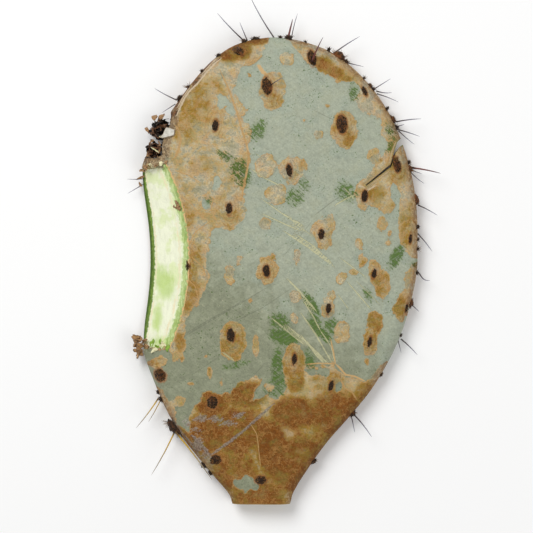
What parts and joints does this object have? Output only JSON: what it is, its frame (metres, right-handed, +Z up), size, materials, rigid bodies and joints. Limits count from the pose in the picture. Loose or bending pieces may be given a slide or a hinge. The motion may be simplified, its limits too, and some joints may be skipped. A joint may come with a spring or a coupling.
{
  "type": "prickly pear cactus pad",
  "caption": "Oval flat cactus pad lying on its back, with corky areole patches, a fresh oblique cut along the left edge, a slit in the right rim and thin spines.",
  "frame": {"origin": "on the surface that the pad rests on, under the middle of its flat back, half way between its tip and its cut stem end", "axes": "+Z up, out of the weathered front face; +Y along the pad from the cut stem end to the growing tip; +X to the right seen from the front, towards the rim with the slit; the fresh cut is on -X"},
  "size_m": [0.1876, 0.3038, 0.0261],
  "materials": {
    "pad_skin": "waxy grey-green skin with tan and rust-brown cork, pale green wet flesh on the cut",
    "dark_spine": "dry woody spine, dark purple-brown base to grey tip",
    "straw_spine": "dry straw-yellow spine",
    "black_crust": "black and brown dried tissue, brittle",
    "papery_skin": "thin dead skin, papery white",
    "brown_scale": "curled dried skin, orange-brown"
  },
  "bodies": {
    "root": {"crust_lower": "black_crust", "crust_upper": "black_crust", "dried_scale": "brown_scale", "pad_body": "pad_skin", "skin_flap": "papery_skin", "spine_base_left_straw": "straw_spine", "spine_base_left_yellow": "straw_spine", "spine_cut_edge_high": "dark_spine", "spine_cut_edge_low": "dark_spine", "spine_edge_hooked": "dark_spine", "spine_edge_middle": "dark_spine", "spine_edge_stub": "dark_spine", "spine_edge_upper": "dark_spine", "spine_face_top_red": "dark_spine", "spine_face_upper_short": "dark_spine", "spine_hidden_edge_long": "dark_spine", "spine_hidden_edge_short": "dark_spine", "spine_lower_left_long": "straw_spine", "spine_lower_left_short": "straw_spine", "spine_lower_right_long": "dark_spine", "spine_lower_right_short": "dark_spine", "spine_right_drooping": "dark_spine", "spine_right_thick": "dark_spine", "spine_right_thin": "dark_spine", "spine_shoulder_high": "dark_spine", "spine_shoulder_low": "dark_spine", "spine_shoulder_middle": "dark_spine", "spine_slit_level": "dark_spine", "spine_slit_middle": "dark_spine", "spine_slit_stub": "dark_spine", "spine_slit_upper": "dark_spine", "spine_tip_broken_stub": "dark_spine", "spine_tip_left_long": "dark_spine", "spine_tip_left_short": "dark_spine", "spine_tip_middle_long": "dark_spine", "spine_tip_right_thin": "dark_spine", "spine_upper_left_long": "dark_spine", "spine_upper_left_low": "dark_spine", "spine_upper_right_long": "dark_spine", "spine_upper_right_low": "dark_spine"}
  },
  "joints": []
}
